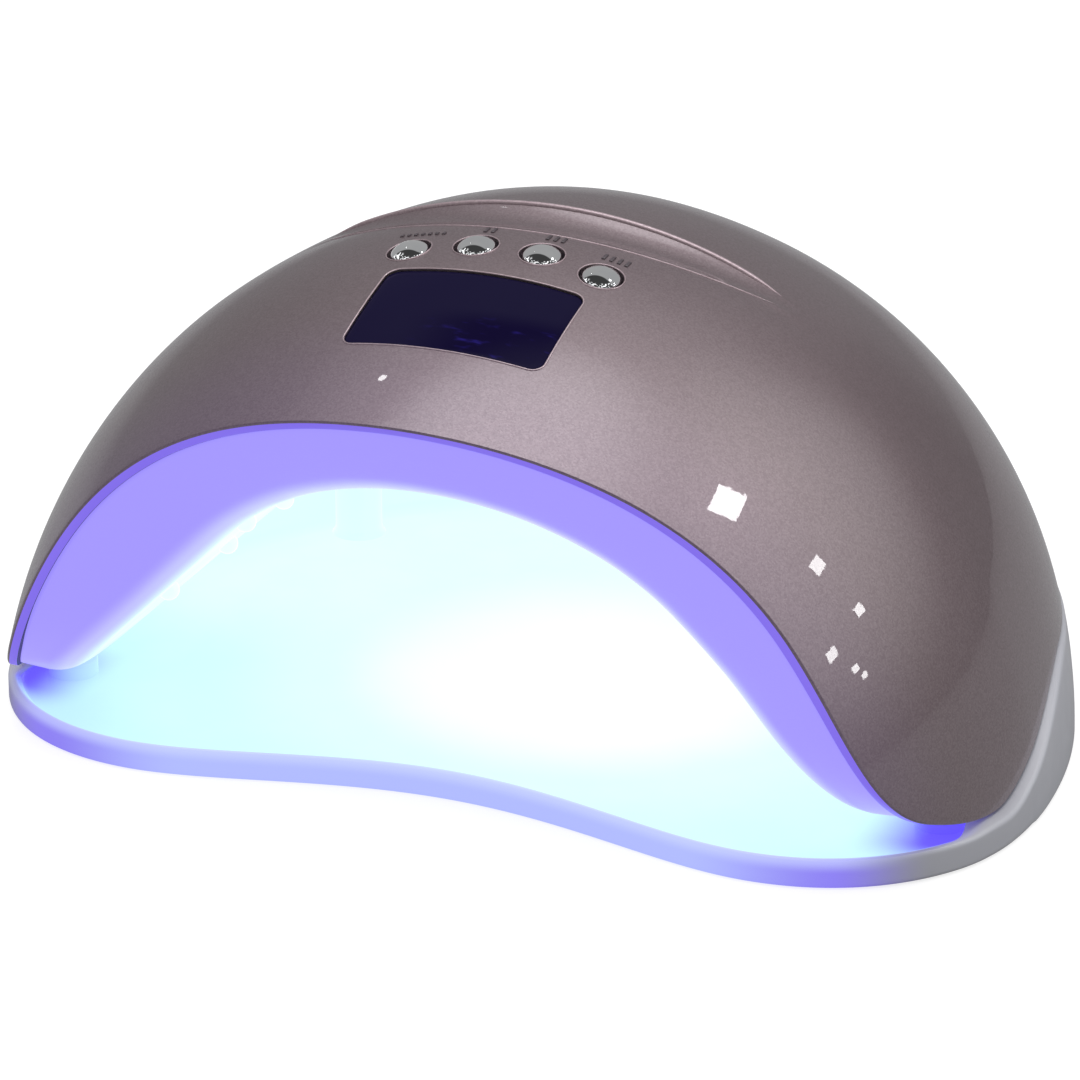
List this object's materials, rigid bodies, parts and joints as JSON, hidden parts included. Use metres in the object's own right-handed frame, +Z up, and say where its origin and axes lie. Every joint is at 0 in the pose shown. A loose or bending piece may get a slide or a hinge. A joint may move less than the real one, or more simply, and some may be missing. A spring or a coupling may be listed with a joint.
{
  "type": "curing lamp",
  "caption": "Tabletop ultraviolet curing lamp: painted dome with a lit arched hand cavity, push buttons and a display window, on a removable kidney-shaped tray.",
  "frame": {"origin": "centre of the footprint's box, on the table plane under the rubber feet", "axes": "+X to the lamp's left-right width (right as seen from the open front), -Y out of the open front, +Z up"},
  "size_m": [0.23, 0.1912, 0.1125],
  "materials": {
    "metallic_paint": "fine metallic taupe lacquer under a clear coat",
    "white_plastic": "moulded white, satin",
    "smoked_window": "smoked, polished",
    "black_plastic": "moulded black",
    "chrome_caps": "plated, polished",
    "circuit_board": "solder mask",
    "capacitor_sleeve": "shrink sleeve",
    "led_board": "white solder mask",
    "led_lens": "clear dome, lit",
    "sensor_lens": "dark infrared lens",
    "wire_sleeve": "soft sleeve",
    "zinc_steel": "zinc plated",
    "nickel_plate": "nickel plated",
    "tray_plastic": "moulded white, gloss",
    "foot_rubber": "soft, matt"
  },
  "bodies": {
    "tray": {"base_tray": "tray_plastic", "tray_magnets": "nickel_plate", "tray_feet": "foot_rubber"},
    "lamp": {"outer_shell": "metallic_paint", "inner_lining": "white_plastic", "display_window": "smoked_window", "display_module": "black_plastic", "button_guide": "white_plastic", "control_board": "circuit_board", "tact_switches": "black_plastic", "control_chip": "black_plastic", "capacitors": "capacitor_sleeve", "buzzer": "black_plastic", "led_ring_1": "led_board", "led_ring_2": "led_board", "led_ring_3": "led_board", "led_ring_4": "led_board", "led_bar_left": "led_board", "led_bar_right": "led_board", "led_beads": "led_lens", "hand_sensor": "sensor_lens", "dc_jack": "black_plastic", "wire_harness": "wire_sleeve", "lining_screws": "zinc_steel", "board_screws": "zinc_steel", "lamp_magnets": "nickel_plate"},
    "button_1": {"button_1": "chrome_caps"},
    "button_2": {"button_2": "chrome_caps"},
    "button_3": {"button_3": "chrome_caps"},
    "button_4": {"button_4": "chrome_caps"}
  },
  "joints": [
    {"name": "lamp_lift", "type": "slide", "parent": "tray", "child": "lamp", "axis": [0, 0, 1], "range_m": [0, 0.08]},
    {"name": "button_1_press", "type": "slide", "parent": "lamp", "child": "button_1", "axis": [0.1889, 0.1488, -0.9707], "range_m": [0, 0.0005], "stiffness_N_per_m": 60, "springref_m": -0.002},
    {"name": "button_2_press", "type": "slide", "parent": "lamp", "child": "button_2", "axis": [0.0647, 0.13, -0.9894], "range_m": [0, 0.0005], "stiffness_N_per_m": 60, "springref_m": -0.002},
    {"name": "button_3_press", "type": "slide", "parent": "lamp", "child": "button_3", "axis": [-0.0647, 0.13, -0.9894], "range_m": [0, 0.0005], "stiffness_N_per_m": 60, "springref_m": -0.002},
    {"name": "button_4_press", "type": "slide", "parent": "lamp", "child": "button_4", "axis": [-0.1889, 0.1488, -0.9707], "range_m": [0, 0.0005], "stiffness_N_per_m": 60, "springref_m": -0.002}
  ]
}
